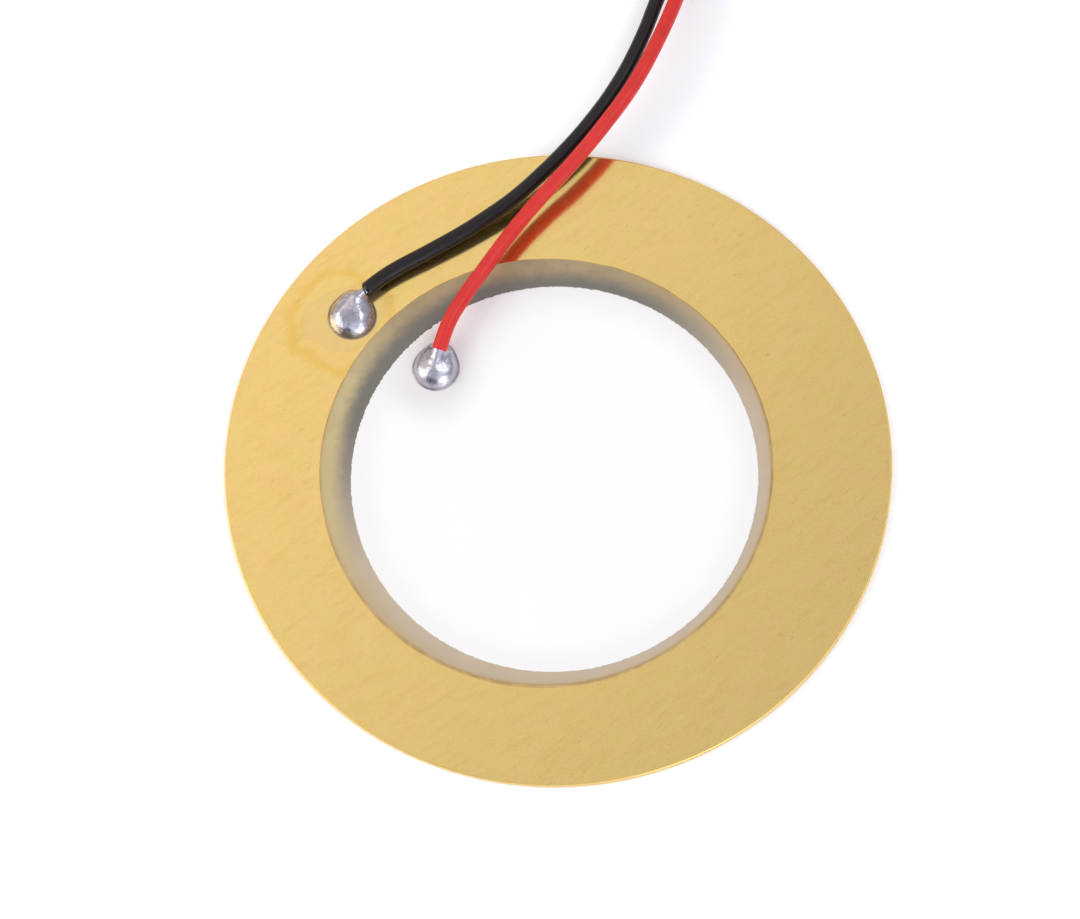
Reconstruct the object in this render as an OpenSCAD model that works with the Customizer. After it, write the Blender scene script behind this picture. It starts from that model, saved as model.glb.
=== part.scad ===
// Piezo disc: a thin brass plate with a silvered ceramic disc bonded to it and two soldered leads.
// The origin is the middle of the plate's underside, +Z points out of the ceramic side.
// The plate lies flat on a surface; the leads run off its far edge into a small tied coil.

/* [Plate] */
// Diameter of the brass plate
plate_d = 35; // [30:0.5:42]
// Thickness of the brass plate
plate_t = 0.3; // [0.2:0.01:0.5]
// Rolled-over radius that the punch leaves on the plate's upper edge
plate_edge_r = 0.06; // [0.02:0.01:0.1]

/* [Ceramic] */
// Diameter of the ceramic disc
ceramic_d = 23.6; // [20:0.1:28.8]
// Thickness of the ceramic disc without its electrodes
ceramic_t = 0.19; // [0.12:0.01:0.4]
// Sideways offset of the ceramic disc on the plate
ceramic_x = -0.65; // [-1:0.05:1]
// Front-to-back offset of the ceramic disc on the plate
ceramic_y = -0.25; // [-1:0.05:1]
// Thickness of the adhesive film under the ceramic disc
bond_t = 0.02; // [0.02:0.005:0.06]
// How far the adhesive stands out round the ceramic disc
bond_bead = 0.12; // [0.08:0.01:0.2]
// Diameter of the silver electrode on top
electrode_d = 21.4; // [17.8:0.1:23]
// Thickness of each silver electrode
electrode_t = 0.02; // [0.02:0.005:0.05]
// Sideways offset of the top electrode from the plate's middle
electrode_x = -0.25; // [-1:0.05:1]
// Front-to-back offset of the top electrode from the plate's middle
electrode_y = -0.75; // [-1:0.05:1]
// Depth of the nicks in the printed electrode's edge
electrode_nick = 0.12; // [0:0.01:0.2]

/* [Solder] */
// Width of the solder bead's foot on the plate
plate_bead_foot_d = 2.5; // [2:0.1:2.6]
// Height of the solder bead on the plate
plate_bead_h = 0.9; // [0.8:0.05:1.2]
// Bare brass between the adhesive round the ceramic disc and the plate's solder bead
plate_bead_gap = 0.2; // [0.1:0.01:0.4]
// Direction from the ceramic disc's middle to the plate's solder bead
plate_bead_angle = 133; // [130:0.5:136]
// Width of the solder bead's foot on the electrode
electrode_bead_foot_d = 2.4; // [1.8:0.1:2.8]
// Height of the solder bead on the electrode
electrode_bead_h = 0.9; // [0.8:0.05:1.2]
// Distance of the electrode's solder bead from the electrode's edge
electrode_bead_inset = 1.95; // [1.8:0.05:3]
// Direction from the electrode's middle to its solder bead
electrode_bead_angle = 129; // [127:0.5:132]
// Radius of the concave foot where the solder wets what it sits on
wetting_r = 0.12; // [0.06:0.01:0.2]

/* [Leads] */
// Diameter over each lead's insulation
lead_d = 0.8; // [0.6:0.05:1]
// Diameter of each lead's tinned strands
strand_d = 0.36; // [0.25:0.01:0.45]
// Length of bare conductor from the insulation's end into each bead
strand_in_bead = 1.1; // [0.9:0.05:1.3]
// Length of each stripped and tinned free end
tinned_end = 3.5; // [3:0.1:3.8]

/* [Coil] */
// Diameter of each coil at the middle of its turns
coil_mid_d = 8.7; // [8.5:0.1:10.5]
// Width across the turns of each coil
coil_band = 2.7; // [2.6:0.1:3.2]
// Sideways place of the coils
coil_x = 7.5; // [7:0.1:8]
// Front-to-back place of the coils
coil_y = 35.5; // [35:0.1:38]
// Width of the tie
tie_w = 1.6; // [1:0.1:2.5]
// Thickness of the tie's strip
tie_t = 0.15; // [0.1:0.01:0.25]

/* [Hidden] */

// Facets of a full circle on large and small round forms
fn_large = 180;
fn_small = 48;
// Sides of a lead's tube
lead_sides = 8;
// Play round a conductor and an insulation end where the solder holds them
solder_gap = 0.01;
// Play between the coils, and between the coils and their tie
coil_gap = 0.03;

// Heights of the stack, from the plate's underside up
bond_top = plate_t + bond_t;
bottom_electrode_top = bond_top + electrode_t;
ceramic_top = bottom_electrode_top + ceramic_t;
electrode_top = ceramic_top + electrode_t;

// Each bead is a ball cut off by its seat, drawn out to a smaller ball near its lead
function ball_r(foot_d, h) = (pow(foot_d / 2, 2) + h * h) / (2 * h);
plate_ball_r = ball_r(plate_bead_foot_d, plate_bead_h);
electrode_ball_r = ball_r(electrode_bead_foot_d, electrode_bead_h);
// The plate's bead stands clear of the ceramic disc, the electrode's bead lies inside the electrode
plate_bead_out = ceramic_d / 2 + bond_bead + plate_bead_gap + plate_bead_foot_d / 2 + wetting_r;
plate_bead_x = ceramic_x + plate_bead_out * cos(plate_bead_angle);
plate_bead_y = ceramic_y + plate_bead_out * sin(plate_bead_angle);
electrode_bead_out = electrode_d / 2 - electrode_bead_inset;
electrode_bead_x = electrode_x + electrode_bead_out * cos(electrode_bead_angle);
electrode_bead_y = electrode_y + electrode_bead_out * sin(electrode_bead_angle);
plate_bead_at = [plate_bead_x, plate_bead_y, plate_t + plate_bead_h - plate_ball_r];
electrode_bead_at = [
    electrode_bead_x, electrode_bead_y, electrode_top + electrode_bead_h - electrode_ball_r
];
plate_tip_at = [plate_bead_x + 0.15, plate_bead_y + 0.5, plate_t - 0.1];
plate_tip_r = 0.95;
electrode_tip_at = [electrode_bead_x + 0.15, electrode_bead_y + 0.45, electrode_top - 0.07];
electrode_tip_r = 0.95;

// Where each lead's insulation starts, and the way it leaves
black_start = [plate_bead_x + 0.85, plate_bead_y + 1.15, plate_t + 0.55];
red_start = [electrode_bead_x + 0.35, electrode_bead_y + 0.85, electrode_top + 0.8];
black_way_out = unit([1.55, 0.95, 0.05]);
red_way_out = unit([0.65, 1.27, 0.36]);
first_step = 1.4;

// Coils: black lies on the surface over the tie's strip, red lies on black
coil_out_r = (coil_mid_d + coil_band) / 2;
coil_turn_r = coil_out_r - lead_d / 2;
coil_in_r = (coil_mid_d - coil_band) / 2;
black_coil_z = tie_t + coil_gap;
red_coil_z = black_coil_z + lead_d + coil_gap;
black_entry_angle = -25;
red_entry_angle = -15;
entry_run = 3.3;
// A coil's entry and tail are a little thinner than the turns that they run into
entry_d = 0.95 * lead_d;
// The free end of each lead turns in from the innermost turn
tail_angle = 70;
tail_bend_r = 0.6 * coil_in_r;
tail_sweep = 110;
// Direction from the coils' middle to their tie
tie_angle = 170;

// The point where a lead meets its coil's straight entry, "back" before the entry's face
function entry_point(angle, z, back) =
    [coil_x, coil_y, z + lead_d / 2]
    + coil_turn_r * [cos(angle), sin(angle), 0]
    + (entry_run + back) * [sin(angle), -cos(angle), 0];

black_route = [
    black_start,
    black_start + first_step * black_way_out,
    [-5.4, 12.5, 1.0], [-3.6, 13.25, 1.1], [-1.95, 14.05, 1.25], [-0.55, 14.8, 1.45],
    [0.85, 15.75, 1.65], [2.35, 16.9, 1.9], [3.8, 18.2, 2.1], [5.55, 20.2, 2.15],
    [7.05, 22.55, 2.0], [8.3, 25.1, 1.65], [9.4, 27.4, 1.1],
    entry_point(black_entry_angle, black_coil_z, 1.2),
    entry_point(black_entry_angle, black_coil_z, 0)
];
red_route = [
    red_start,
    red_start + first_step * red_way_out,
    [-3.9, 9.35, 1.7], [-2.65, 10.8, 1.75], [-0.9, 12.75, 1.8], [0.95, 14.5, 2.05],
    [2.85, 16.1, 2.45], [4.7, 17.9, 2.7], [6.45, 19.95, 2.65], [7.95, 22.3, 2.4],
    [9.3, 24.85, 2.0], [10.35, 27.2, 1.65],
    entry_point(red_entry_angle, red_coil_z, 1.8),
    entry_point(red_entry_angle, red_coil_z, 0)
];

function unit(v) = v / norm(v);
function limited(i, n) = min(max(i, 0), n - 1);
function direction(path, i) =
    unit(path[limited(i + 1, len(path))] - path[limited(i - 1, len(path))]);
// Corners of one ring of a tube, square to the path and level from side to side
function tube_ring(path, i, r, sides) =
    let (
        ahead = direction(path, i),
        across = unit(cross([0, 0, 1], ahead)),
        above = cross(ahead, across)
    )
    [for (k = [0 : sides - 1])
        let (a = 360 * (k + 0.5) / sides)
        path[i] + r * (cos(a) * across + sin(a) * above)];

// Edge of the screen-printed electrode: a circle with small uneven nicks
electrode_points = 240;
function electrode_edge(a) =
    electrode_d / 2
    - electrode_nick * pow(abs(sin(31 * a + 50 * sin(5 * a))), 4) * (0.6 + 0.4 * sin(3 * a + 110));

// Solid tube of diameter d along a path, closed by flat ends
module tube(path, d, sides) {
    rings = len(path);
    corners = [for (i = [0 : rings - 1]) each tube_ring(path, i, d / 2, sides)];
    walls = [
        for (i = [0 : rings - 2], k = [0 : sides - 1])
            let (n = (k + 1) % sides)
            [(i + 1) * sides + k, (i + 1) * sides + n, i * sides + n, i * sides + k]
    ];
    start_face = [for (k = [0 : sides - 1]) k];
    end_face = [for (k = [sides - 1 : -1 : 0]) (rings - 1) * sides + k];
    polyhedron(corners, concat(walls, [start_face, end_face]));
}

// Disc with its upper edge rounded over
module eased_disc(d, h, edge_r) {
    rotate_extrude($fn = fn_large) {
        square([d / 2 - edge_r, h]);
        square([d / 2, h - edge_r]);
        intersection() {
            translate([d / 2 - edge_r, h - edge_r]) circle(r = edge_r, $fn = fn_small);
            square([d / 2, h]);
        }
    }
}

// Turns the +Z axis of its children to a direction and moves them to a point
module aim(point, way) {
    translate(point)
        rotate([0, acos(way[2]), atan2(way[1], way[0])])
            children();
}

// Ball drawn out to a smaller ball by the cone that touches both
module drawn_ball(from, from_r, to, to_r) {
    reach = norm(to - from);
    lean = asin((from_r - to_r) / reach);
    aim(from, unit(to - from)) {
        sphere(r = from_r, $fn = fn_small);
        translate([0, 0, from_r * sin(lean)])
            cylinder(
                h = reach + (to_r - from_r) * sin(lean),
                r1 = from_r * cos(lean),
                r2 = to_r * cos(lean),
                $fn = fn_small
            );
        translate([0, 0, reach]) sphere(r = to_r, $fn = fn_small);
    }
}

// Concave ring of solder at a bead's foot
module wetting_foot(foot_d) {
    rotate_extrude($fn = fn_small)
        difference() {
            square([foot_d / 2 + wetting_r, wetting_r]);
            translate([foot_d / 2 + wetting_r, wetting_r]) circle(r = wetting_r, $fn = fn_small);
        }
}

// Solder bead cut flat at its seat, open for the conductor and the insulation's end
module solder_bead(at, r, tip_at, tip_r, seat_z, foot_d, lead_start, way_out) {
    difference() {
        union() {
            intersection() {
                drawn_ball(at, r, tip_at, tip_r);
                translate([at[0], at[1], seat_z]) cylinder(h = 4 * r, r = 3 * r, $fn = fn_small);
            }
            translate([at[0], at[1], seat_z]) wetting_foot(foot_d);
        }
        aim(lead_start - strand_in_bead * way_out, way_out)
            translate([0, 0, -solder_gap])
                cylinder(h = strand_in_bead + 1, d = strand_d + 2 * solder_gap, $fn = fn_small);
        aim(lead_start, way_out)
            translate([0, 0, -solder_gap])
                cylinder(h = first_step, d = lead_d + 2 * solder_gap, $fn = fn_small);
    }
}

// Flat coil of one lead: its ring of turns, its straight entry and its turned-in tail
module coil(z, entry_angle) {
    translate([coil_x, coil_y, z]) {
        rotate_extrude($fn = fn_large) coil_section();
        rotate([0, 0, entry_angle])
            translate([coil_turn_r, 0, lead_d / 2])
                rotate([90, 0, 0])
                    cylinder(h = entry_run, d = entry_d, $fn = fn_small);
        rotate([0, 0, entry_angle + tail_angle])
            translate([coil_in_r + lead_d / 2 - tail_bend_r, 0, lead_d / 2])
                rotate_extrude(angle = tail_sweep, $fn = fn_small)
                    translate([tail_bend_r, 0]) circle(d = entry_d, $fn = fn_small);
    }
}

// Section of a coil: flat turns side by side, rounded at the inner and outer turn
module coil_section() {
    translate([coil_in_r + lead_d / 2, 0]) square([coil_band - lead_d, lead_d]);
    for (x = [coil_in_r + lead_d / 2, coil_out_r - lead_d / 2])
        translate([x, lead_d / 2]) circle(d = lead_d, $fn = fn_small);
}

// Straight tinned strands that leave a coil's tail and lie inside the coil
module tinned_strands(z, entry_angle) {
    translate([coil_x, coil_y, z])
        rotate([0, 0, entry_angle + tail_angle])
            translate([coil_in_r + lead_d / 2 - tail_bend_r, 0, lead_d / 2])
                rotate([0, 0, tail_sweep])
                    translate([tail_bend_r, 0, 0])
                        rotate([-90, 0, 0])
                            cylinder(h = tinned_end, d = strand_d, $fn = fn_small);
}

module brass_plate() {
    color("#dcbf7e") eased_disc(plate_d, plate_t, plate_edge_r);
}

// Adhesive film with the small bead that was squeezed out round the ceramic disc
module bond_layer() {
    color("#b69768")
        translate([ceramic_x, ceramic_y, plate_t]) {
            cylinder(h = bond_t, d = ceramic_d, $fn = fn_large);
            rotate_extrude($fn = fn_large)
                translate([ceramic_d / 2, 0])
                    intersection() {
                        circle(r = bond_bead, $fn = fn_small);
                        square(bond_bead);
                    }
        }
}

module bottom_electrode() {
    color("#e6e3df")
        translate([ceramic_x, ceramic_y, bond_top])
            cylinder(h = electrode_t, d = ceramic_d, $fn = fn_large);
}

module ceramic_disc() {
    color("#a69c8c")
        translate([ceramic_x, ceramic_y, bottom_electrode_top])
            cylinder(h = ceramic_t, d = ceramic_d, $fn = fn_large);
}

module top_electrode() {
    color("#f4f0ec")
        translate([electrode_x, electrode_y, ceramic_top])
            linear_extrude(electrode_t)
                polygon([for (i = [0 : electrode_points - 1])
                    let (a = 360 * i / electrode_points)
                    electrode_edge(a) * [cos(a), sin(a)]]);
}

module plate_solder() {
    color("#b4b4b8")
        solder_bead(
            plate_bead_at, plate_ball_r, plate_tip_at, plate_tip_r,
            plate_t, plate_bead_foot_d, black_start, black_way_out
        );
}

module electrode_solder() {
    color("#b4b4b8")
        solder_bead(
            electrode_bead_at, electrode_ball_r, electrode_tip_at, electrode_tip_r,
            electrode_top, electrode_bead_foot_d, red_start, red_way_out
        );
}

module conductor(lead_start, way_out) {
    color("#c9c6c2")
        aim(lead_start - strand_in_bead * way_out, way_out)
            cylinder(h = strand_in_bead, d = strand_d, $fn = fn_small);
}

module black_conductor() {
    conductor(black_start, black_way_out);
}

module red_conductor() {
    conductor(red_start, red_way_out);
}

module black_lead() {
    color("#322c2e") tube(black_route, lead_d, lead_sides);
}

module red_lead() {
    color("#d93c38") tube(red_route, lead_d, lead_sides);
}

module black_coil() {
    color("#322c2e") coil(black_coil_z, black_entry_angle);
}

module red_coil() {
    color("#d93c38") coil(red_coil_z, red_entry_angle);
}

module black_tinned_end() {
    color("#c9c6c2") tinned_strands(black_coil_z, black_entry_angle);
}

module red_tinned_end() {
    color("#c9c6c2") tinned_strands(red_coil_z, red_entry_angle);
}

// Strip wrapped round both coils, with its twisted ends lying outside them
module coil_tie() {
    // The strip's inner side is a chord across the coils' hole
    hole_side = sqrt(pow(coil_in_r, 2) - pow(tie_w / 2, 2)) - coil_gap;
    inside_w = coil_out_r + coil_gap - hole_side;
    inside_h = red_coil_z + lead_d + coil_gap - tie_t;
    twist_d = 2 * tie_t + 0.5;
    twist_l = 4;
    color("#e8e6e0")
        translate([coil_x, coil_y, 0])
            rotate([0, 0, tie_angle]) {
                translate([hole_side, tie_w / 2, 0])
                    rotate([90, 0, 0])
                        linear_extrude(tie_w)
                            difference() {
                                translate([-tie_t, 0])
                                    square([inside_w + 2 * tie_t, inside_h + 2 * tie_t]);
                                translate([0, tie_t]) square([inside_w, inside_h]);
                            }
                translate([hole_side + inside_w + tie_t, 0, twist_d / 2])
                    rotate([0, 90, 0])
                        cylinder(h = twist_l, d = twist_d, $fn = fn_small);
            }
}

brass_plate();
bond_layer();
bottom_electrode();
ceramic_disc();
top_electrode();
plate_solder();
electrode_solder();
black_conductor();
red_conductor();
black_lead();
red_lead();
black_coil();
red_coil();
black_tinned_end();
red_tinned_end();
coil_tie();
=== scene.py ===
"""Looks of the piezo disc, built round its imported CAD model.

Lengths that belong to the object are written in millimetres and turned into metres by MM.
"""

import math
import random

import bmesh
import bpy
import numpy as np
from mathutils import Matrix, Vector


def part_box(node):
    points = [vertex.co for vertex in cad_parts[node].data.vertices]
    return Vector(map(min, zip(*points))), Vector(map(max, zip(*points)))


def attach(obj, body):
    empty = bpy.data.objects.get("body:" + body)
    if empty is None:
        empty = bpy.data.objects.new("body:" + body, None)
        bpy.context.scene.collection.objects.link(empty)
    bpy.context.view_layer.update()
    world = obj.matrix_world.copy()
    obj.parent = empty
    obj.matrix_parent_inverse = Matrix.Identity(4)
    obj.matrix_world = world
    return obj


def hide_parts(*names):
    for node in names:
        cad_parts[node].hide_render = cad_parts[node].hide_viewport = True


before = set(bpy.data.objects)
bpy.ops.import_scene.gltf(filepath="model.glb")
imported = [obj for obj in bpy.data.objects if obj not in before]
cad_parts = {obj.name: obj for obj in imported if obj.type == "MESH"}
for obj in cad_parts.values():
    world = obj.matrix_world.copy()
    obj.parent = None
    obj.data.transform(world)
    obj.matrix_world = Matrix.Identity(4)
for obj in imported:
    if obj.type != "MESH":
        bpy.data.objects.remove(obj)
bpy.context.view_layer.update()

MM = 0.001
BODY = "root"
SEED = 7

# ---------------------------------------------------------------------------------------------
# Places, from the frame and from part.scad
# ---------------------------------------------------------------------------------------------

plate_low, plate_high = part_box("brass_plate")
ceramic_low, ceramic_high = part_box("ceramic_disc")
electrode_low, electrode_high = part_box("top_electrode")

PLATE_R = (plate_high.x - plate_low.x) / 2 / MM
PLATE_TOP = plate_high.z / MM
CERAMIC_R = (ceramic_high.x - ceramic_low.x) / 2 / MM
CERAMIC_X = (ceramic_high.x + ceramic_low.x) / 2 / MM
CERAMIC_Y = (ceramic_high.y + ceramic_low.y) / 2 / MM
CERAMIC_TOP = ceramic_high.z / MM
ELECTRODE_R = (electrode_high.x - electrode_low.x) / 2 / MM
ELECTRODE_X = (electrode_high.x + electrode_low.x) / 2 / MM
ELECTRODE_Y = (electrode_high.y + electrode_low.y) / 2 / MM
ELECTRODE_TOP = electrode_high.z / MM


def polar(x, y, distance, degrees):
    """The point at a distance and a direction from x, y."""
    return x + distance * math.cos(math.radians(degrees)), y + distance * math.sin(math.radians(degrees))


def from_foot(foot, seat_z, offset):
    """The point at an offset from the middle of a bead's foot."""
    return foot[0] + offset[0], foot[1] + offset[1], seat_z + offset[2]


# Solder beads, placed from the edges that they stand beside
ADHESIVE_W = 0.12
WETTING = 0.12
PLATE_BEAD_FOOT_R = 1.25
PLATE_BEAD_H = 0.9
PLATE_BEAD_GAP = 0.2
PLATE_BEAD_ANGLE = 133
PLATE_BEAD_OUT = CERAMIC_R + ADHESIVE_W + PLATE_BEAD_GAP + PLATE_BEAD_FOOT_R + WETTING
PLATE_BEAD = polar(CERAMIC_X, CERAMIC_Y, PLATE_BEAD_OUT, PLATE_BEAD_ANGLE)
ELECTRODE_BEAD_FOOT_R = 1.2
ELECTRODE_BEAD_H = 0.9
ELECTRODE_BEAD_INSET = 1.95
ELECTRODE_BEAD_ANGLE = 129
# The electrode's place and radius before its edge is torn
PRINT_X = -0.25
PRINT_Y = -0.75
PRINT_R = 10.7
ELECTRODE_BEAD = polar(PRINT_X, PRINT_Y, PRINT_R - ELECTRODE_BEAD_INSET, ELECTRODE_BEAD_ANGLE)

# Leads
LEAD_D = 0.8
STRAND_D = 0.36
TINNED_END = 3.5
COIL_X = 7.5
COIL_Y = 35.5
COIL_OUTER_R = 5.3
COIL_INNER_R = 3.4
COIL_TURNS = 790 / 360
COIL_STEPS = 44
TAIL_R = 1.8
TAIL_SWEEP = 110
TAIL_STEP = 22
ENTRY_RUN = 3.3
BLACK_COIL_Z = 0.58
RED_COIL_Z = 1.41
BLACK_ENTRY_ANGLE = -25
RED_ENTRY_ANGLE = -15
BLACK_OFFSET = (0.85, 1.15, 0.55)
RED_OFFSET = (0.35, 0.85, 0.8)
BLACK_START = from_foot(PLATE_BEAD, PLATE_TOP, BLACK_OFFSET)
RED_START = from_foot(ELECTRODE_BEAD, ELECTRODE_TOP, RED_OFFSET)
BLACK_WAY_OUT = Vector((1.55, 0.95, 0.05)).normalized()
RED_WAY_OUT = Vector((0.65, 1.27, 0.36)).normalized()
FIRST_STEP = 1.4
# The insulation's cut end: how far it is eased, its scale at the cut and past it, and how deep red sits
NOSE = 0.12
CUT_SCALE = 0.8
LIP_SCALE = 1.02
RED_SUNK = 0.22
BLACK_ROUTE = [
    (-5.4, 12.5, 1.0), (-3.6, 13.25, 1.1), (-1.95, 14.05, 1.25), (-0.55, 14.8, 1.45),
    (0.85, 15.75, 1.65), (2.35, 16.9, 1.9), (3.8, 18.2, 2.1), (5.55, 20.2, 2.15),
    (7.05, 22.55, 2.0), (8.3, 25.1, 1.65), (9.4, 27.4, 1.1),
]
RED_ROUTE = [
    (-3.9, 9.35, 1.7), (-2.65, 10.8, 1.75), (-0.9, 12.75, 1.8), (0.95, 14.5, 2.05),
    (2.85, 16.1, 2.45), (4.7, 17.9, 2.7), (6.45, 19.95, 2.65), (7.95, 22.3, 2.4),
    (9.3, 24.85, 2.0), (10.35, 27.2, 1.65),
]


def metres(points):
    return [tuple(c * MM for c in p) for p in points]


# ---------------------------------------------------------------------------------------------
# Camera
# ---------------------------------------------------------------------------------------------

CAMERA_AT = (-0.887, -104.286, 296.891)
CAMERA_LENS = 200
CAMERA_TILT = 19.44
CAMERA_ROLL = 6.84


def make_camera():
    camera = bpy.data.objects.new("camera", bpy.data.cameras.new("camera"))
    bpy.context.scene.collection.objects.link(camera)
    camera.data.lens = CAMERA_LENS
    camera.data.sensor_width = 36
    camera.data.clip_start = 0.01
    camera.data.clip_end = 20
    tilt = Matrix.Rotation(math.radians(CAMERA_TILT), 4, "X")
    roll = Matrix.Rotation(math.radians(-CAMERA_ROLL), 4, "Z")
    camera.matrix_world = Matrix.Translation(Vector(CAMERA_AT) * MM) @ tilt @ roll
    bpy.context.scene.camera = camera


# ---------------------------------------------------------------------------------------------
# Leads
# ---------------------------------------------------------------------------------------------

def coil_point(angle, radius, z):
    x, y = polar(COIL_X, COIL_Y, radius, angle)
    return x, y, z


def coil_path(entry_angle, z):
    """Straight entry, turns that wind inwards, and the tail that turns into the coil."""
    tangent_x, tangent_y = polar(0, 0, 1, entry_angle - 90)
    first = coil_point(entry_angle, COIL_OUTER_R, z)
    points = [
        (first[0] + run * tangent_x, first[1] + run * tangent_y, z)
        for run in (ENTRY_RUN, ENTRY_RUN / 2)
    ]
    for i in range(COIL_STEPS + 1):
        share = i / COIL_STEPS
        radius = COIL_OUTER_R + (COIL_INNER_R - COIL_OUTER_R) * share
        points.append(coil_point(entry_angle + 360 * COIL_TURNS * share, radius, z))
    end_angle = entry_angle + 360 * COIL_TURNS
    middle_x, middle_y = polar(COIL_X, COIL_Y, COIL_INNER_R - TAIL_R, end_angle)
    for turn in range(TAIL_STEP, TAIL_SWEEP + 1, TAIL_STEP):
        x, y = polar(middle_x, middle_y, TAIL_R, end_angle + turn)
        points.append((x, y, z))
    return points


def tinned_direction(entry_angle):
    x, y = polar(0, 0, 1, entry_angle + 360 * COIL_TURNS + TAIL_SWEEP + 90)
    return Vector((x, y, 0))


def lead_points(start, way_out, route, back, entry_angle, z):
    """Every point of a lead's insulation, from its bead to its stripped end."""
    second = tuple(Vector(start) + FIRST_STEP * way_out)
    entry = coil_path(entry_angle, z)
    step_x, step_y = polar(0, 0, back, entry_angle - 90)
    before = (entry[0][0] + step_x, entry[0][1] + step_y, z)
    return [start, second, *route, before, *entry]


def make_curve(name, points, radius, sunk):
    """A smooth tube through points, as a curve of one open spline. Its cut start is eased and sunk."""
    start = Vector(points[0])
    way = (Vector(points[1]) - start).normalized()
    points = [tuple(start - sunk * way), tuple(start + (NOSE - sunk) * way), *points[1:]]
    data = bpy.data.curves.new(name, "CURVE")
    data.dimensions = "3D"
    data.bevel_depth = radius * MM
    data.bevel_resolution = 6
    data.resolution_u = 8
    data.use_fill_caps = True
    spline = data.splines.new("BEZIER")
    spline.bezier_points.add(len(points) - 1)
    for knot, point in zip(spline.bezier_points, metres(points)):
        knot.co = point
        knot.handle_left_type = "AUTO"
        knot.handle_right_type = "AUTO"
    spline.bezier_points[0].radius = CUT_SCALE
    spline.bezier_points[1].radius = LIP_SCALE
    piece = bpy.data.objects.new(name, data)
    bpy.context.scene.collection.objects.link(piece)
    return piece


make_camera()
black_points = lead_points(BLACK_START, BLACK_WAY_OUT, BLACK_ROUTE, 1.2, BLACK_ENTRY_ANGLE, BLACK_COIL_Z)
red_points = lead_points(RED_START, RED_WAY_OUT, RED_ROUTE, 1.8, RED_ENTRY_ANGLE, RED_COIL_Z)
black_insulation = make_curve("black_insulation", black_points, LEAD_D / 2, 0)
red_insulation = make_curve("red_insulation", red_points, LEAD_D / 2, RED_SUNK)


# ---------------------------------------------------------------------------------------------
# Meshes
# ---------------------------------------------------------------------------------------------

def make_mesh(name, vertices, faces, smooth=True):
    """A mesh from points in millimetres."""
    mesh = bpy.data.meshes.new(name)
    mesh.from_pydata(metres(vertices), [], faces)
    work = bmesh.new()
    work.from_mesh(mesh)
    bmesh.ops.recalc_face_normals(work, faces=work.faces)
    work.to_mesh(mesh)
    work.free()
    mesh.polygons.foreach_set("use_smooth", [smooth] * len(mesh.polygons))
    piece = bpy.data.objects.new(name, mesh)
    bpy.context.scene.collection.objects.link(piece)
    return piece


def grid_faces(rows, columns, round_rows=False, round_columns=True):
    """Quads between rows of points. Where it goes round, the last is joined to the first."""
    faces = []
    for i in range(rows if round_rows else rows - 1):
        n = (i + 1) % rows
        for j in range(columns if round_columns else columns - 1):
            k = (j + 1) % columns
            faces.append((i * columns + j, i * columns + k, n * columns + k, n * columns + j))
    return faces


def blended(a, b, k):
    """Union of two distance fields with a fillet of about k between them."""
    h = np.clip(0.5 + 0.5 * (b - a) / k, 0, 1)
    return b * (1 - h) + a * h - k * h * (1 - h)


def smooth_and(a, b, k):
    """What two distance fields share, with a rounded edge of about k between them."""
    return -blended(-a, -b, k)


def between_balls(p, a, a_r, b, b_r):
    """Distance field of two balls and the cone that touches both."""
    axis = b - a
    long2 = axis @ axis
    taper = a_r - b_r
    lean2 = long2 - taper * taper
    from_a = p - a
    y = from_a @ axis
    z = y - long2
    x2 = ((from_a * long2 - y[..., None] * axis) ** 2).sum(-1)
    y2, z2 = y * y * long2, z * z * long2
    edge = np.sign(taper) * taper * taper * x2
    at_b = np.sqrt(x2 + z2) / long2 - b_r
    at_a = np.sqrt(x2 + y2) / long2 - a_r
    side = (np.sqrt(x2 * lean2 / long2) + y * taper) / long2 - a_r
    near_a = np.where(np.sign(y) * lean2 * y2 < edge, at_a, side)
    return np.where(np.sign(z) * lean2 * z2 > edge, at_b, near_a)


# How softly a bead's flats, the collar round its lead and its foot run into it
FLAT_EASE = 0.1
COLLAR_FILLET = 0.25
FOOT_FILLET = 0.07
# The collar's root, measured back from the insulation's end
COLLAR_DEPTH = 0.7
COLLAR_ROOT_R = 0.3
# A bead's skin, just inside its field's zero, which the seat itself reaches
SKIN_LEVEL = -0.0005


def bead_field(p, bead):
    """Distance field of a solder bead over its seat, in millimetres from the middle of its foot."""
    ball = np.array([0, 0, bead["ball_z"]])
    field = between_balls(p, ball, bead["ball_r"], np.array(bead["tip"]), bead["tip_r"])
    for at, facing in bead["flats"]:
        way = np.array(facing) / np.linalg.norm(facing)
        field = smooth_and(field, (p - np.array(at)) @ way, FLAT_EASE)
    for at, size, depth in bead["dents"]:
        field = field + depth * np.exp(-(np.linalg.norm(p - np.array(at), axis=-1) / size) ** 2)
    start = np.array(bead["lead"])
    way = np.array(bead["way_out"])
    root = start - COLLAR_DEPTH * way
    collar = between_balls(p, root, COLLAR_ROOT_R, start - bead["bare"] * way, bead["collar_r"])
    return blended(blended(field, collar, COLLAR_FILLET), p[..., 2], FOOT_FILLET)


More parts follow.
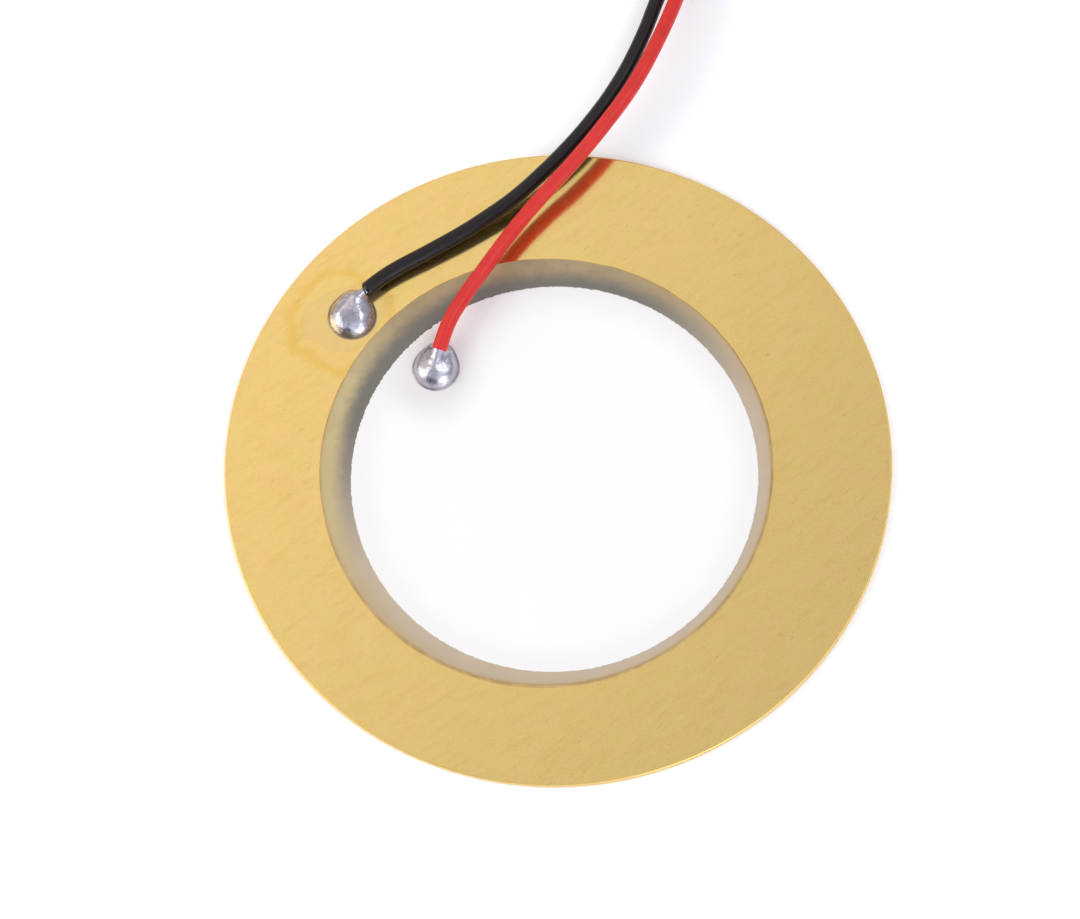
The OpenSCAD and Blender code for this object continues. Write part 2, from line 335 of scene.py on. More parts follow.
def make_bead(name, foot, seat_z, bead):
    """Bead found along rays from the middle of its foot."""
    around, up, far = 192, 96, 900
    turn = np.arange(around) / around * 2 * math.pi
    rise = (np.arange(up) / (up - 1)) ** 1.5 * math.pi / 2
    reach = np.linspace(0.02, 2.4, far)
    rings = []
    for e in rise:
        flat = math.cos(e)
        ray = np.stack([np.cos(turn) * flat, np.sin(turn) * flat, np.full(around, math.sin(e))], 1)
        field = bead_field(ray[:, None, :] * reach[None, :, None], bead)
        outside = field > SKIN_LEVEL
        first = np.where(outside.any(1), outside.argmax(1), far - 1)
        first = np.maximum(first, 1)
        rows = np.arange(around)
        inner = field[rows, first - 1]
        step = field[rows, first] - inner
        share = np.clip((SKIN_LEVEL - inner) / np.where(abs(step) < 1e-9, 1e-9, step), 0, 1)
        distance = reach[first - 1] + share * (reach[first] - reach[first - 1])
        rings.append(ray * distance[:, None])
    points = np.concatenate(rings[:-1] + [rings[-1][:1]])
    points = points + np.array([foot[0], foot[1], seat_z])
    faces = grid_faces(up - 1, around)
    last = (up - 2) * around
    faces += [(last + j, last + (j + 1) % around, len(points) - 1) for j in range(around)]
    faces.append(tuple(range(around - 1, -1, -1)))
    return make_mesh(name, points.tolist(), faces)


STRAND_LAY = 3.2
STRAND_TIP = 0.16
STRAND_GROOVE = 0.16


def make_strands(name, start, direction, length, round_tip):
    """Seven tinned strands laid in a helix, six of them outside, under a skin of tin."""
    start = Vector(start)
    direction = Vector(direction).normalized()
    rings, around = 90, 48
    side = Vector((0, 0, 1)).cross(direction).normalized()
    above = direction.cross(side).normalized()
    lay = 2 * math.pi / STRAND_LAY
    vertices = []
    for i in range(rings):
        along = length * i / (rings - 1)
        tip = min(1.0, max(0.0, (length - along) / STRAND_TIP)) if round_tip else 1.0
        size = STRAND_D / 2 * math.sqrt(1 - (1 - tip) ** 2)
        for j in range(around):
            a = 2 * math.pi * j / around
            lobe = abs(math.cos(3 * (a + along * lay)))
            radius = size * (1 - STRAND_GROOVE + STRAND_GROOVE * lobe ** 0.7)
            p = start + direction * along + radius * (math.cos(a) * side + math.sin(a) * above)
            vertices.append(tuple(p))
    faces = grid_faces(rings, around)
    faces.append(tuple(range(around)))
    faces.append(tuple(range(rings * around - 1, (rings - 1) * around - 1, -1)))
    return make_mesh(name, vertices, faces)


def disc_rings(centre, outline, top, bottom, insets):
    """Rings of points from the foot of an outline, over its edge, towards its middle.

    Each inset is a distance in from the outline and a drop below the top.
    """
    x, y = centre
    rings = [[(x + px, y + py, bottom) for px, py in outline]]
    for inset, drop in insets:
        ring = []
        for px, py in outline:
            size = math.hypot(px, py)
            share = (size - inset) / size
            ring.append((x + px * share, y + py * share, top - drop))
        rings.append(ring)
    return rings


EDGE_CLEAR = 0.005
EDGE_WAVE = 0.045
EDGE_TOOTH = 0.042
TORN_TOWARDS = 120


def make_electrode():
    """Screen-printed silver: a soft uneven edge with fine teeth, deepest towards the far left."""
    rng = random.Random(SEED)
    count = 2880
    waves = [(n, rng.uniform(0, 2 * math.pi), rng.uniform(0.4, 1)) for n in (23, 41, 67, 89, 131, 173)]
    total = sum(size for _, _, size in waves)
    outline = []
    for i in range(count):
        a = 2 * math.pi * i / count
        wave = sum(size * math.sin(n * a + phase) for n, phase, size in waves) / total
        tooth = max(0.0, math.sin(251 * a + 5.3 * math.sin(13 * a) + 3.1 * math.sin(37 * a))) ** 1.5
        torn = 0.5 + 0.5 * max(0.0, math.cos(a - math.radians(TORN_TOWARDS))) ** 1.5
        radius = ELECTRODE_R - EDGE_CLEAR - EDGE_WAVE * (0.5 + 0.5 * wave) - EDGE_TOOTH * torn * tooth
        outline.append((radius * math.cos(a), radius * math.sin(a)))
    insets = [(0, 0.012), (0.012, 0.004), (0.04, 0), (0.6, 0), (3, 0), (7, 0)]
    rings = disc_rings((ELECTRODE_X, ELECTRODE_Y), outline, ELECTRODE_TOP, CERAMIC_TOP, insets)
    vertices = [p for ring in rings for p in ring]
    faces = grid_faces(len(rings), count)
    faces.append(tuple((len(rings) - 1) * count + j for j in range(count)))
    faces.append(tuple(range(count - 1, -1, -1)))
    return make_mesh("printed_electrode", vertices, faces)


ADHESIVE_H = 0.1
ADHESIVE_TUCK = 0.02
ADHESIVE_HOLLOW = 1.6


def make_adhesive():
    """Uneven hollow fillet of adhesive squeezed out round the ceramic disc, tucked under its edge."""
    rng = random.Random(SEED + 1)
    waves = [(n, rng.uniform(0, 2 * math.pi), rng.uniform(0.3, 1)) for n in (3, 7, 13, 29, 47)]
    total = sum(size for _, _, size in waves)
    count, section = 720, 7
    vertices = []
    for i in range(count):
        a = 2 * math.pi * i / count
        swell = sum(size * math.sin(n * a + phase) for n, phase, size in waves) / total
        out = ADHESIVE_W * (0.86 + 0.3 * swell)
        tall = ADHESIVE_H * (1 + 0.4 * swell)
        for k in range(section):
            t = math.pi / 2 * k / (section - 1)
            radius = CERAMIC_R - ADHESIVE_TUCK + (out + ADHESIVE_TUCK) * math.cos(t) ** ADHESIVE_HOLLOW
            z = PLATE_TOP + tall * math.sin(t) ** ADHESIVE_HOLLOW
            x, y = polar(CERAMIC_X, CERAMIC_Y, radius, math.degrees(a))
            vertices.append((x, y, z))
    faces = grid_faces(count, section, round_rows=True, round_columns=False)
    return make_mesh("adhesive_fillet", vertices, faces)


FLUX_H = 0.035


def make_flux():
    """Clear film of dried flux round the plate's bead, thickest just inside its own edge."""
    rng = random.Random(SEED + 2)
    corners = [
        (0.95, 1.9), (0.05, 1.75), (-1.15, 1.5), (-2.25, 1.0), (-2.75, 0.15), (-2.9, -0.85),
        (-2.2, -1.05), (-1.4, -1.75), (-0.35, -1.95), (0.45, -1.75), (1.05, -1.35), (1.45, -0.55),
        (1.9, 0.1), (2.3, 0.75), (1.95, 1.15), (1.55, 1.35),
    ]
    outline = []
    count = len(corners)
    steps = 12
    # a smooth closed curve through the corners
    for i in range(count):
        p0, p1, p2, p3 = (Vector(corners[(i + d) % count]) for d in (-1, 0, 1, 2))
        for k in range(steps):
            t = k / steps
            point = 0.5 * (2 * p1 + (p2 - p0) * t + (2 * p0 - 5 * p1 + 4 * p2 - p3) * t * t
                           + (3 * p1 - p0 - 3 * p2 + p3) * t ** 3)
            point = point * (1 + rng.uniform(-0.006, 0.006))
            outline.append((point.x, point.y))
    insets = [(0.03, 0.018), (0.09, 0.0), (0.2, 0.004), (0.4, 0.012), (0.8, 0.01)]
    rings = disc_rings(PLATE_BEAD, outline, PLATE_TOP + FLUX_H, PLATE_TOP, insets)
    vertices = [p for ring in rings for p in ring]
    columns = len(outline)
    faces = grid_faces(len(rings), columns)
    faces.append(tuple((len(rings) - 1) * columns + j for j in range(columns)))
    return make_mesh("flux_film", vertices, faces)


TIE_ANGLE = 170
TIE_INNER_R = 2.79
TIE_OUTER_R = 5.83
TIE_EDGE = 0.085
TIE_CORNER = 0.3
TIE_HALF_W = 0.8
TIE_HALF_T = 0.05
TWIST_LENGTH = 4
TWIST_TURNS = 2.25
TWIST_Z = 0.4
TWIST_R = 0.16
TWIST_OPENS_AT = 0.82
TWIST_OPENS_BY = 0.12
TWIST_STRIP_HALF_W = 0.3
TWIST_STRIP_HALF_T = 0.09


def round_loop(left, right, bottom, top, corner):
    """Points of a rectangle with round corners, anticlockwise."""
    corners = [
        (right - corner, bottom + corner, -90), (right - corner, top - corner, 0),
        (left + corner, top - corner, 90), (left + corner, bottom + corner, 180),
    ]
    return [polar(x, y, corner, start + 15 * step) for x, y, start in corners for step in range(7)]


def make_tie():
    """Paper-covered wire tie: a band round both coils and its two ends twisted together."""
    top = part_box("coil_tie")[1].z / MM - TIE_EDGE
    angle = math.radians(TIE_ANGLE)
    radial = Vector((math.cos(angle), math.sin(angle), 0))
    across = Vector((-math.sin(angle), math.cos(angle), 0))
    up = Vector((0, 0, 1))
    centre = Vector((COIL_X, COIL_Y, 0))
    loop = round_loop(TIE_INNER_R, TIE_OUTER_R, TIE_EDGE, top, TIE_CORNER)
    # paper with a wire along its middle: places across the strip and out of it
    section = [
        (-1, -0.6), (-1, 0.6), (-0.3, 1), (-0.15, 1.3), (0, 1.6), (0.15, 1.3), (0.3, 1),
        (1, 0.6), (1, -0.6), (0.3, -1), (0, -1.1), (-0.3, -1),
    ]
    vertices = []
    for i, (r, z) in enumerate(loop):
        r0, z0 = loop[i - 1]
        r1, z1 = loop[(i + 1) % len(loop)]
        along = Vector((r1 - r0, z1 - z0)).normalized()
        out = Vector((along.y, -along.x)) * TIE_HALF_T
        for side, height in section:
            middle = centre + radial * (r + out.x * height) + up * (z + out.y * height)
            vertices.append(tuple(middle + across * (side * TIE_HALF_W)))
    faces = grid_faces(len(loop), len(section), round_rows=True)
    # the twisted ends
    rings, around = 60, 24
    for half in (0, math.pi):
        base = len(vertices)
        for i in range(rings):
            share = i / (rings - 1)
            turn = half + share * 2 * math.pi * TWIST_TURNS
            spread = TWIST_R + TWIST_OPENS_BY * max(0.0, share - TWIST_OPENS_AT) / (1 - TWIST_OPENS_AT)
            outward = math.cos(turn) * across + math.sin(turn) * up
            sideways = math.cos(turn) * up - math.sin(turn) * across
            middle = centre + radial * (TIE_OUTER_R + TIE_HALF_T + TWIST_LENGTH * share) + up * TWIST_Z
            middle = middle + spread * outward
            for j in range(around):
                a = 2 * math.pi * j / around
                wide = TWIST_STRIP_HALF_W * math.cos(a) * sideways
                thick = TWIST_STRIP_HALF_T * math.sin(a) * outward
                vertices.append(tuple(middle + wide + thick))
        faces += [tuple(base + k for k in face) for face in grid_faces(rings, around)]
        faces.append(tuple(base + j for j in range(around)))
        faces.append(tuple(base + (rings - 1) * around + j for j in range(around - 1, -1, -1)))
    return make_mesh("paper_tie", vertices, faces)


# ---------------------------------------------------------------------------------------------
# Materials
# ---------------------------------------------------------------------------------------------

def linear(red, green, blue):
    """A screen colour of 0 to 255 as the shader's linear colour."""
    def channel(value):
        share = value / 255
        return share / 12.92 if share <= 0.04045 else ((share + 0.055) / 1.055) ** 2.4
    return channel(red), channel(green), channel(blue), 1.0


class Nodes:
    """A node tree, with short calls for the nodes that are added to it."""

    def __init__(self, tree):
        self.tree = tree

    def add(self, kind, **settings):
        node = self.tree.nodes.new(kind)
        for key, value in settings.items():
            setattr(node, key, value)
        return node

    def put(self, value, socket):
        """A link from a socket, or a constant."""
        if isinstance(value, bpy.types.NodeSocket):
            self.tree.links.new(value, socket)
        else:
            socket.default_value = value

    def vector(self, operation, a, b=None):
        node = self.add("ShaderNodeVectorMath", operation=operation)
        self.put(a, node.inputs[0])
        if b is not None:
            self.put(b, node.inputs[1])
        return node.outputs

    def math(self, operation, a, b=0.0, c=0.0):
        node = self.add("ShaderNodeMath", operation=operation)
        for value, socket in zip((a, b, c), node.inputs):
            self.put(value, socket)
        return node.outputs[0]

    def between(self, value, low, high, to_low=0.0, to_high=1.0):
        """Smooth step of a value from one range to another."""
        node = self.add("ShaderNodeMapRange", interpolation_type="SMOOTHSTEP")
        self.put(value, node.inputs["Value"])
        node.inputs["From Min"].default_value = low
        node.inputs["From Max"].default_value = high
        node.inputs["To Min"].default_value = to_low
        node.inputs["To Max"].default_value = to_high
        return node.outputs[0]

    def mix(self, share, a, b):
        """A colour from a to b."""
        node = self.add("ShaderNodeMix", data_type="RGBA")
        self.put(share, node.inputs["Factor"])
        self.put(a, node.inputs[6])
        self.put(b, node.inputs[7])
        return node.outputs[2]


class Surface(Nodes):
    """One material on the standard shader, with places in millimetres."""

    def __init__(self, name, **inputs):
        self.material = bpy.data.materials.new(name)
        self.material.use_nodes = True
        super().__init__(self.material.node_tree)
        self.shader = self.tree.nodes["Principled BSDF"]
        for socket, value in inputs.items():
            self.shader.inputs[socket.replace("_", " ")].default_value = value
        coordinates = self.add("ShaderNodeTexCoord")
        scale = self.add("ShaderNodeVectorMath", operation="SCALE")
        self.put(coordinates.outputs["Object"], scale.inputs[0])
        scale.inputs["Scale"].default_value = 1 / MM
        self.place = scale.outputs[0]

    def mapped(self, move=(0, 0, 0), stretch=(1, 1, 1)):
        """Places moved and stretched."""
        node = self.add("ShaderNodeMapping")
        self.put(self.place, node.inputs["Vector"])
        node.inputs["Location"].default_value = move
        node.inputs["Scale"].default_value = stretch
        return node.outputs[0]

    def turned(self, degrees, along, across):
        """Places in strokes: X runs in a direction, in units of a stroke's length and width."""
        node = self.add("ShaderNodeMapping", vector_type="TEXTURE")
        self.put(self.place, node.inputs["Vector"])
        node.inputs["Rotation"].default_value = (0, 0, math.radians(degrees))
        node.inputs["Scale"].default_value = (along, across, 1)
        return node.outputs[0]

    def noise(self, scale, detail=2.0, rough=0.5, warp=0.0, place=None):
        """Noise of 0 to 1, with about so many features in a millimetre."""
        node = self.add("ShaderNodeTexNoise")
        self.put(self.place if place is None else place, node.inputs["Vector"])
        node.inputs["Scale"].default_value = scale
        node.inputs["Detail"].default_value = detail
        node.inputs["Roughness"].default_value = rough
        node.inputs["Distortion"].default_value = warp
        return node.outputs["Fac"]

    def axes(self):
        """X, Y and Z."""
        node = self.add("ShaderNodeSeparateXYZ")
        self.put(self.place, node.inputs[0])
        return node.outputs

    def distance(self, x, y):
        """Distance from an upright line through x, y."""
        return self.vector("LENGTH", self.mapped(move=(-x, -y, 0), stretch=(1, 1, 0)))["Value"]

    def angle(self, x, y):
        """Direction from an upright line through x, y, in radians."""
        node = self.add("ShaderNodeSeparateXYZ")
        self.put(self.mapped(move=(-x, -y, 0)), node.inputs[0])
        return self.math("ARCTAN2", node.outputs["Y"], node.outputs["X"])

    def bump(self, height, depth, strength=1.0):
        """Relief from a height of 0 to 1, depth in millimetres."""
        node = self.add("ShaderNodeBump")
        self.put(height, node.inputs["Height"])
        node.inputs["Strength"].default_value = strength
        node.inputs["Distance"].default_value = depth * MM
        self.put(node.outputs[0], self.shader.inputs["Normal"])

    def colour(self, value):
        self.put(value, self.shader.inputs["Base Color"])

    def roughness(self, value):
        self.put(value, self.shader.inputs["Roughness"])


def brass():
    s = Surface("rolled_brass", Metallic=1.0)
    strokes = s.noise(1, 3, 0.65, place=s.turned(30, 1.5, 0.34))
    mottle = s.noise(1.3, 4, 0.65)
    grain = s.noise(7, 3, 0.75)
    hue = s.noise(0.9, 3, 0.6, place=s.mapped(move=(7, 3, 0)))
    tone = s.mix(s.between(hue, 0.35, 0.65), linear(246, 208, 134), linear(242, 211, 131))
    tone = s.mix(s.between(mottle, 0.35, 0.75, 0, 0.24), tone, linear(238, 199, 118))
    tone = s.mix(s.between(strokes, 0.45, 0.72, 0, 0.38), tone, linear(233, 195, 112))
    tone = s.mix(s.between(grain, 0.35, 0.7, 0, 0.3), tone, linear(228, 188, 114))
    # stain of heated flux on top, round the plate's bead, darkest along its ragged edge
    top = s.between(s.axes()["Z"], 0.6 * PLATE_TOP, 0.9 * PLATE_TOP)
    stain = s.distance(PLATE_BEAD[0] - 0.6, PLATE_BEAD[1] - 0.2)
    ragged = s.math("ADD", stain, s.math("MULTIPLY", s.noise(0.7, 3, 0.6), 1.8))
    inside = s.math("MULTIPLY", s.between(ragged, 2.6, 5.0, 0.16, 0), top)
    tone = s.mix(inside, tone, linear(246, 208, 118))
    edge = s.math("MULTIPLY", s.between(ragged, 3.2, 3.6), s.between(ragged, 3.6, 4.2, 0.56, 0))
    tone = s.mix(s.math("MULTIPLY", edge, top), tone, linear(234, 190, 84))
    # fine scratches
    scratch = s.noise(1, 2, 0.5, place=s.turned(38, 0.6, 0.07))
    place = s.between(s.noise(0.35, 1), 0.42, 0.58)
    lines = s.math("MULTIPLY", s.between(scratch, 0.66, 0.74, 0, 0.55), place)
    s.colour(s.mix(lines, tone, linear(196, 150, 82)))
    # the metal is duller in fine specks and round its stamped edge
    specks = s.between(s.noise(40, 1, 0.5), 0.57, 0.67, 0, 0.3)
    rim = s.between(s.distance(0, 0), PLATE_R - 0.14, PLATE_R - 0.02, 0, 0.3)
    polish = s.between(mottle, 0.3, 0.8, 0.115, 0.145)
    s.roughness(s.math("ADD", polish, s.math("MAXIMUM", specks, rim)))
    s.bump(s.math("MULTIPLY_ADD", strokes, 0.6, mottle), 0.0009)
    return s.material


def silver_print():
    s = Surface("fired_silver", Metallic=0.0, Specular_IOR_Level=0.25)
    grain = s.noise(9, 3, 0.7)
    cloud = s.noise(0.25, 3, 0.55)
    # painted shadow: a soft grey halo on the print round its bead, off towards its lower left
    bead = s.distance(ELECTRODE_BEAD[0] - 0.35, ELECTRODE_BEAD[1] - 0.3)
    tone = s.mix(s.between(cloud, 0.3, 0.7, 0, 0.5), linear(251, 249, 248), linear(247, 245, 243))
    tone = s.mix(s.between(bead, 1.0, 3.4, 0.7, 0), tone, linear(226, 216, 214))
    rim = s.distance(ELECTRODE_X, ELECTRODE_Y)
    tone = s.mix(s.between(rim, ELECTRODE_R - 2.2, ELECTRODE_R, 0, 0.5), tone, linear(236, 230, 226))
    s.colour(tone)
    s.roughness(s.between(grain, 0.3, 0.7, 0.5, 0.62))
    s.bump(grain, 0.006, 0.6)
    return s.material


def plain_silver():
    s = Surface("hidden_silver", Metallic=1.0)
    grain = s.noise(6, 3, 0.6)
    s.colour(s.mix(grain, linear(232, 230, 226), linear(214, 212, 208)))
    s.roughness(s.between(grain, 0.3, 0.7, 0.42, 0.55))
    return s.material


def ceramic():
    s = Surface("piezo_ceramic", Specular_IOR_Level=0.3)
    out = s.distance(CERAMIC_X, CERAMIC_Y)
    inner = s.distance(ELECTRODE_X, ELECTRODE_Y)
    turn = s.angle(CERAMIC_X, CERAMIC_Y)

    def towards(degrees, low, high):
        """1 in a direction from the middle, fading to 0 on both sides."""
        return s.between(s.math("COSINE", s.math("SUBTRACT", turn, math.radians(degrees))), low, high)

    cloud = s.between(s.noise(0.7, 3, 0.55), 0.3, 0.7)
    outer = s.mix(cloud, linear(191, 167, 131), linear(187, 164, 131))
    outer = s.mix(s.math("MULTIPLY", towards(165, 0.6, 1.0), 0.9), outer, linear(199, 178, 130))
    outer = s.mix(towards(88, 0.5, 0.85), outer, linear(172, 150, 114))
    inside = s.mix(cloud, linear(196, 177, 153), linear(192, 173, 150))
    inside = s.mix(towards(108, -0.2, 0.75), inside, linear(119, 114, 106))
    ragged = s.math("MULTIPLY_ADD", s.noise(1.8, 4, 0.65), 0.5, inner)
    ragged = s.math("SUBTRACT", ragged, s.math("MULTIPLY", towards(126, 0.72, 1.0), 0.25))
    near = s.between(ragged, ELECTRODE_R + 0.4, ELECTRODE_R + 1.4, 1, 0)
    tone = s.mix(near, outer, inside)
    blotch = s.math("MULTIPLY", s.between(s.noise(1.5, 3, 0.55), 0.45, 0.7, 0, 0.2), towards(110, 0.2, 0.8))
    tone = s.mix(blotch, tone, linear(112, 111, 98))
    tone = s.mix(s.between(out, CERAMIC_R - 0.14, CERAMIC_R, 0, 0.5), tone, linear(186, 154, 104))
    s.colour(tone)
    s.roughness(s.between(s.noise(5, 3), 0.3, 0.7, 0.34, 0.44))
    s.bump(s.noise(12, 3, 0.6), 0.003, 0.5)
    return s.material


def adhesive():
    s = Surface("cured_adhesive", Roughness=0.5)
    blotch = s.noise(1.3, 3, 0.6)
    s.colour(s.mix(s.between(blotch, 0.35, 0.65), linear(198, 166, 110), linear(178, 146, 92)))
    s.bump(s.noise(6, 2), 0.01, 0.5)
    return s.material


def solder():
    s = Surface("solder", Metallic=1.0)
    skin = s.noise(1.4, 3, 0.55, 0.6)
    fine = s.noise(7, 3, 0.6, 0.5)
    tone = s.mix(s.between(skin, 0.35, 0.65), linear(208, 204, 213), linear(188, 183, 194))
    # painted shade at the foot of each bead: a dark brown line where it meets its seat, less of it on the
    # electrode's, which stands on a higher seat
    place = s.axes()
    on_electrode = s.between(place["X"], PLATE_BEAD[0] + 1.6, PLATE_BEAD[0] + 1.8)
    seat = s.math("MULTIPLY_ADD", on_electrode, ELECTRODE_TOP - PLATE_TOP, PLATE_TOP)
    over = s.math("SUBTRACT", place["Z"], seat)
    foot = s.between(s.math("MULTIPLY_ADD", skin, 0.1, over), 0.06, 0.28, 0.75, 0)
    foot = s.math("MULTIPLY", foot, s.math("MULTIPLY_ADD", on_electrode, -0.4, 1.0))
    s.colour(s.mix(foot, tone, linear(122, 106, 92)))
    s.roughness(s.math("MULTIPLY_ADD", foot, 0.25, s.between(fine, 0.3, 0.7, 0.22, 0.38)))
    s.bump(s.math("MULTIPLY_ADD", fine, 0.1, skin), 0.07, 0.7)
    return s.material


def tinned_wire():
    s = Surface("tinned_strands", Metallic=1.0)
    grain = s.noise(8, 3, 0.6)
    s.colour(s.mix(grain, linear(222, 220, 216), linear(196, 192, 186)))
    s.roughness(s.between(grain, 0.3, 0.7, 0.18, 0.32))
    s.bump(grain, 0.006, 0.6)
    return s.material


def insulation(name, bright, deep, speck):
    s = Surface(name, Specular_IOR_Level=0.3)
    cloud = s.noise(0.8, 3, 0.6)
    fine = s.noise(14, 2, 0.6)
    tone = s.mix(s.between(cloud, 0.3, 0.7), bright, deep)
    s.colour(s.mix(s.between(fine, 0.68, 0.78, 0, 0.25), tone, speck))
    s.roughness(s.between(cloud, 0.3, 0.7, 0.34, 0.44))
    drawn = s.noise(3, 3, 0.5)
    s.bump(s.math("MULTIPLY_ADD", fine, 0.2, drawn), 0.012, 0.6)
    return s.material


def flux():
    s = Surface("dried_flux", Roughness=0.08, Alpha=0.09)
    blotch = s.noise(1.2, 3, 0.6, 0.5)
    s.colour(s.mix(blotch, linear(222, 210, 180), linear(236, 218, 170)))
    s.bump(blotch, 0.03, 0.6)
    return s.material


def tie_paper():
    s = Surface("tie_paper", Roughness=0.75)
    fibre = s.noise(6, 4, 0.7, place=s.mapped(stretch=(1, 3, 1)))
    s.colour(s.mix(fibre, linear(238, 236, 230), linear(222, 219, 211)))
    s.bump(fibre, 0.02, 0.8)
    return s.material


# ---------------------------------------------------------------------------------------------
# The object
# ---------------------------------------------------------------------------------------------

def finish_piece(piece, material, replaces=()):
    piece.data.materials.clear()
    piece.data.materials.append(material)
    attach(piece, BODY)
    if replaces:
        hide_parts(*replaces)
    return piece


def paint_node(name, material):
    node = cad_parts[name]
    for material_slot in node.material_slots:
        material_slot.link = "OBJECT"
        material_slot.material = material
    if not node.material_slots:
        node.data.materials.append(material)


def ball_radius(foot_r, height):
    return (foot_r ** 2 + height ** 2) / (2 * height)


solder_metal = solder()
tinned_metal = tinned_wire()
paint_node("brass_plate", brass())
paint_node("ceramic_disc", ceramic())
paint_node("bottom_electrode", plain_silver())

finish_piece(make_electrode(), silver_print(), ["top_electrode"])
finish_piece(make_adhesive(), adhesive(), ["bond_layer"])
finish_piece(make_flux(), flux())

# Each bead is a ball cut by its seat and drawn out to a tip. A flat is a point on it and the way it faces.
# A dent is its middle, size and depth. A collar wets the strands and leaves a bare stretch before the lead.
plate_ball_r = ball_radius(PLATE_BEAD_FOOT_R, PLATE_BEAD_H)
plate_bead = make_bead("plate_solder_bead", PLATE_BEAD, PLATE_TOP, {
    "ball_z": PLATE_BEAD_H - plate_ball_r,
    "ball_r": plate_ball_r,
    "tip": (0.15, 0.5, -0.1),
    "tip_r": 0.95,
    "flats": [((-0.25, 0.15, 0.82), (-0.1, -0.2, 0.97))],
    "dents": [
        ((0.1, -0.8, 0.6), 0.2, 0.03), ((0.7, 0.1, 0.65), 0.2, 0.02), ((-0.55, -0.6, 0.6), 0.16, 0.015),
    ],
    "lead": BLACK_OFFSET,
    "way_out": BLACK_WAY_OUT,
    "bare": 0.2,
    "collar_r": 0.24,
})
electrode_ball_r = ball_radius(ELECTRODE_BEAD_FOOT_R, ELECTRODE_BEAD_H)
electrode_bead = make_bead("electrode_solder_bead", ELECTRODE_BEAD, ELECTRODE_TOP, {
    "ball_z": ELECTRODE_BEAD_H - electrode_ball_r,
    "ball_r": electrode_ball_r,
    "tip": (0.15, 0.45, -0.07),
    "tip_r": 0.95,
    "flats": [((-0.3, 0.5, 0.76), (-0.35, 0.1, 0.93)), ((0.55, 0.1, 0.74), (0.35, -0.1, 0.93))],
    "dents": [
        ((-0.08, 0.28, 0.88), 0.1, 0.05), ((-0.2, -0.55, 0.75), 0.2, 0.03), ((0.1, -0.15, 0.9), 0.15, 0.015),
    ],
    "lead": RED_OFFSET,
    "way_out": RED_WAY_OUT,
    "bare": 0.0,
    "collar_r": 0.38,
})
finish_piece(plate_bead, solder_metal, ["plate_solder"])
finish_piece(electrode_bead, solder_metal, ["electrode_solder"])

STRAND_IN_BEAD = 1.1
STRAND_IN_LEAD = 0.3


def make_conductor(name, start, way_out):
    """The strands between a bead and its lead, held in both."""
    inside = Vector(start) - STRAND_IN_BEAD * way_out
    return make_strands(name, inside, way_out, STRAND_IN_BEAD + STRAND_IN_LEAD, False)


def make_tip(name, points, entry_angle):
    """The stripped and tinned free end of a lead."""
    return make_strands(name, points[-1], tinned_direction(entry_angle), TINNED_END, True)


black_conductor = make_conductor("black_strands", BLACK_START, BLACK_WAY_OUT)
red_conductor = make_conductor("red_strands", RED_START, RED_WAY_OUT)
finish_piece(black_conductor, tinned_metal, ["black_conductor"])
finish_piece(red_conductor, tinned_metal, ["red_conductor"])

black_tip = make_tip("black_tinned_strands", black_points, BLACK_ENTRY_ANGLE)
red_tip = make_tip("red_tinned_strands", red_points, RED_ENTRY_ANGLE)
finish_piece(black_tip, tinned_metal, ["black_tinned_end"])
finish_piece(red_tip, tinned_metal, ["red_tinned_end"])

finish_piece(make_tie(), tie_paper(), ["coil_tie"])

black_pvc = insulation("black_pvc", linear(27, 22, 23), linear(23, 19, 21), linear(52, 45, 44))
red_pvc = insulation("red_pvc", linear(219, 52, 46), linear(210, 44, 42), linear(232, 96, 84))
finish_piece(black_insulation, black_pvc, ["black_lead", "black_coil"])
finish_piece(red_insulation, red_pvc, ["red_lead", "red_coil"])


# ---------------------------------------------------------------------------------------------
# Studio
# ---------------------------------------------------------------------------------------------

def make_world():
    """Soft sky: bright and warm high behind and to the left, with a dark spot low on the left in front.

    It is brighter again in front, for views from behind. The camera sees a white backdrop past the floor.
    """
    world = bpy.data.worlds.new("studio")
    bpy.context.scene.world = world
    world.use_nodes = True
    sky = Nodes(world.node_tree)
    background = sky.tree.nodes["Background"]
    coordinates = sky.add("ShaderNodeTexCoord")

    def facing(direction, low, high, to_low, to_high):
        way = Vector(direction).normalized()
        dot = sky.vector("DOT_PRODUCT", coordinates.outputs["Generated"], way)["Value"]
        return sky.between(dot, low, high, to_low, to_high)

    base = facing((-0.32, 0.54, 0.78), 0.824, 1.0, 0.485, 1.285)
    dark = facing((-0.42, -0.87, 0.27), 0.87, 0.97, 1.0, 0.1)
    front = facing((0.2, -0.78, 0.6), 0.7, 0.95, 1.0, 2.1)
    strength = sky.math("MULTIPLY", sky.math("MULTIPLY", base, dark), front)
    sky.put(strength, background.inputs["Strength"])
    warm = facing((-0.77, 0.64, 0), -0.08, 0.5, 0, 1)
    sky.put(sky.mix(warm, (0.88, 0.97, 1.12, 1), (1.06, 1.0, 0.92, 1)), background.inputs["Color"])

    backdrop = sky.add("ShaderNodeBackground")
    backdrop.inputs["Color"].default_value = (1, 1, 1, 1)
    rays = sky.add("ShaderNodeLightPath")
    either = sky.add("ShaderNodeMixShader")
    sky.put(rays.outputs["Is Camera Ray"], either.inputs[0])
    sky.put(background.outputs[0], either.inputs[1])
    sky.put(backdrop.outputs[0], either.inputs[2])
    sky.put(either.outputs[0], sky.tree.nodes["World Output"].inputs["Surface"])


LAMP_DISTANCE = 0.9


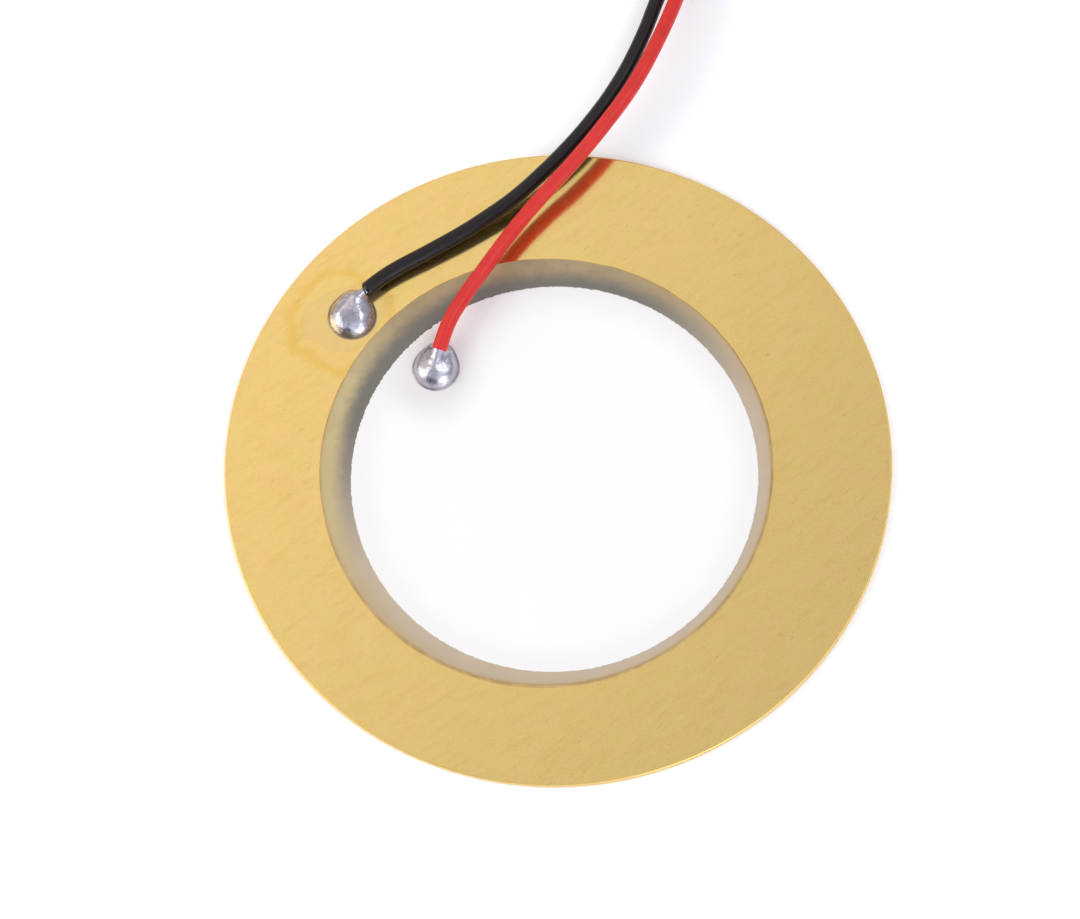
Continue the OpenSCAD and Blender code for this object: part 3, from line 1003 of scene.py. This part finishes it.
def make_lamp(name, direction, size, radiance):
    """Round soft lamp, sized in metres, that shines at the plate with a given radiance."""
    data = bpy.data.lights.new(name, "AREA")
    data.shape = "DISK"
    data.size = size
    area = math.pi * (size / 2) ** 2
    data.energy = radiance * math.pi * area
    lamp = bpy.data.objects.new(name, data)
    bpy.context.scene.collection.objects.link(lamp)
    way = Vector(direction).normalized()
    lamp.location = way * LAMP_DISTANCE
    lamp.rotation_mode = "QUATERNION"
    lamp.rotation_quaternion = way.to_track_quat("Z", "Y")


FLOOR_HALF = 3000
FLOOR_CLEAR = 0.02


def make_floor():
    """White floor just below the plate. It is paler far from the lamps, so it stays white to its edge."""
    corners = [(x * FLOOR_HALF, y * FLOOR_HALF, 0) for x, y in ((-1, -1), (1, -1), (1, 1), (-1, 1))]
    floor = make_mesh("floor", corners, [(0, 1, 2, 3)], smooth=False)
    floor.location.z = -FLOOR_CLEAR * MM
    material = bpy.data.materials.new("pale_floor")
    material.use_nodes = True
    ground = Nodes(material.node_tree)
    ground.tree.nodes.clear()
    output = ground.add("ShaderNodeOutputMaterial")
    diffuse = ground.add("ShaderNodeBsdfDiffuse")
    rays = ground.add("ShaderNodeLightPath")
    seen = ground.math("MAXIMUM", rays.outputs["Is Camera Ray"], rays.outputs["Is Glossy Ray"])
    seen = ground.math("MAXIMUM", seen, rays.outputs["Is Transmission Ray"])
    coordinates = ground.add("ShaderNodeTexCoord")
    away = ground.vector("LENGTH", coordinates.outputs["Object"])["Value"]
    paler = ground.between(away, 0.12, 1.2, 1.1, 2.6)
    ground.put(ground.mix(seen, (0.8, 0.8, 0.8, 1), paler), diffuse.inputs["Color"])
    ground.put(diffuse.outputs[0], output.inputs["Surface"])
    floor.data.materials.append(material)


make_world()
make_floor()
make_lamp("left_lamp", (-0.88, -0.06, 0.47), 0.75, 2.7)
make_lamp("front_lamp", (0.43, -0.88, 0.24), 0.45, 5.0)
make_lamp("top_lamp", (0.53, 0.02, 0.85), 0.5, 2.4)
bpy.context.scene.view_settings.view_transform = "Standard"
